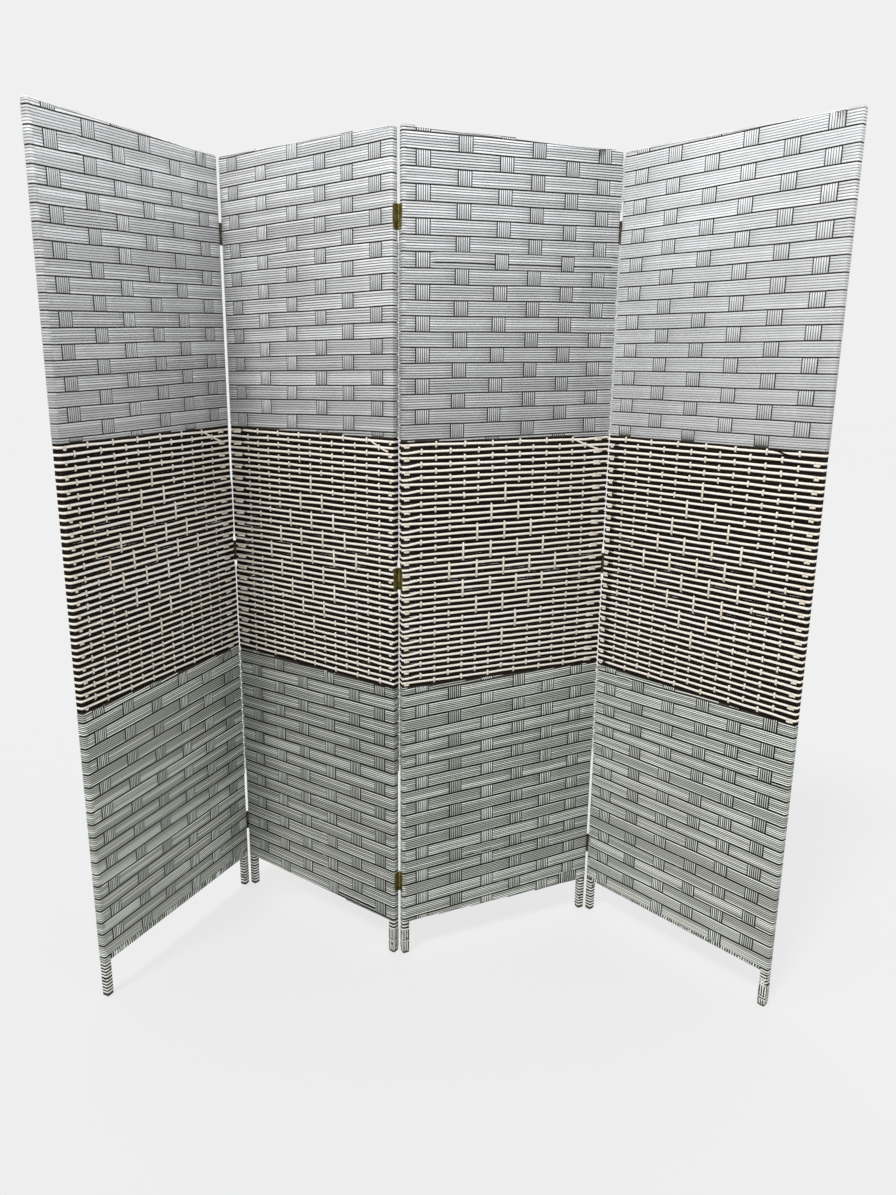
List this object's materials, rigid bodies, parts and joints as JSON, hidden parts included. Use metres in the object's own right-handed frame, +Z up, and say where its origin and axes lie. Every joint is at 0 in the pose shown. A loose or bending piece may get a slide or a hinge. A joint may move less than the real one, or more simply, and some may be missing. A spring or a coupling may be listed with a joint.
{
  "type": "folding room divider screen",
  "caption": "Free-standing folding screen of woven paper cord over slim wood frames, hinged panel to panel, grey fields above and below a dark band with a cream diamond weave.",
  "frame": {"origin": "on the floor, under the middle of the box round the screen as it stands zigzag", "axes": "+Z up, +X to the right along the row of panels, +Y to the back, away from the viewer"},
  "size_m": [1.4551, 0.4852, 1.8],
  "materials": {
    "grey_cord": "matte",
    "dark_cord": "matte",
    "cream_cord": "matte",
    "frame_wood": "matte",
    "aged_brass": "satin"
  },
  "bodies": {
    "panel_1": {"panel_1_bottom_rail": "frame_wood", "panel_1_cross_rails": "frame_wood", "panel_1_left_foot_wrap": "grey_cord", "panel_1_left_stile": "frame_wood", "panel_1_lower_weave": "grey_cord", "panel_1_middle_weave": "dark_cord", "panel_1_right_foot_wrap": "grey_cord", "panel_1_right_stile": "frame_wood", "panel_1_top_rail": "frame_wood", "panel_1_upper_weave": "grey_cord", "hinge_1_2_left_leaves": "aged_brass"},
    "panel_2": {"panel_2_bottom_rail": "frame_wood", "panel_2_cross_rails": "frame_wood", "panel_2_left_foot_wrap": "grey_cord", "panel_2_left_stile": "frame_wood", "panel_2_lower_weave": "grey_cord", "panel_2_middle_weave": "dark_cord", "panel_2_right_foot_wrap": "grey_cord", "panel_2_right_stile": "frame_wood", "panel_2_top_rail": "frame_wood", "panel_2_upper_weave": "grey_cord", "hinge_1_2_right_leaves": "aged_brass", "hinge_1_2_pins": "aged_brass", "hinge_2_3_left_leaves": "aged_brass", "hinge_2_3_pins": "aged_brass"},
    "panel_3": {"panel_3_bottom_rail": "frame_wood", "panel_3_cross_rails": "frame_wood", "panel_3_left_foot_wrap": "grey_cord", "panel_3_left_stile": "frame_wood", "panel_3_lower_weave": "grey_cord", "panel_3_middle_weave": "dark_cord", "panel_3_right_foot_wrap": "grey_cord", "panel_3_right_stile": "frame_wood", "panel_3_top_rail": "frame_wood", "panel_3_upper_weave": "grey_cord", "hinge_2_3_right_leaves": "aged_brass", "hinge_3_4_left_leaves": "aged_brass"},
    "panel_4": {"panel_4_bottom_rail": "frame_wood", "panel_4_cross_rails": "frame_wood", "panel_4_left_foot_wrap": "grey_cord", "panel_4_left_stile": "frame_wood", "panel_4_lower_weave": "grey_cord", "panel_4_middle_weave": "dark_cord", "panel_4_right_foot_wrap": "grey_cord", "panel_4_right_stile": "frame_wood", "panel_4_top_rail": "frame_wood", "panel_4_upper_weave": "grey_cord", "hinge_3_4_right_leaves": "aged_brass", "hinge_3_4_pins": "aged_brass"}
  },
  "joints": [
    {"name": "hinge_1_2", "type": "hinge", "parent": "panel_2", "child": "panel_1", "pos_m": [-0.54904, 0.2277, 0], "axis": [0, 0, 1], "range_deg": [-100.6, 78.9]},
    {"name": "hinge_2_3", "type": "hinge", "parent": "panel_2", "child": "panel_3", "pos_m": [-0.10508, -0.00096, 0], "axis": [0, 0, 1], "range_deg": [-59, 120.5]},
    {"name": "hinge_3_4", "type": "hinge", "parent": "panel_3", "child": "panel_4", "pos_m": [0.33888, 0.2277, 0], "axis": [0, 0, 1], "range_deg": [-109.3, 70.2]}
  ]
}
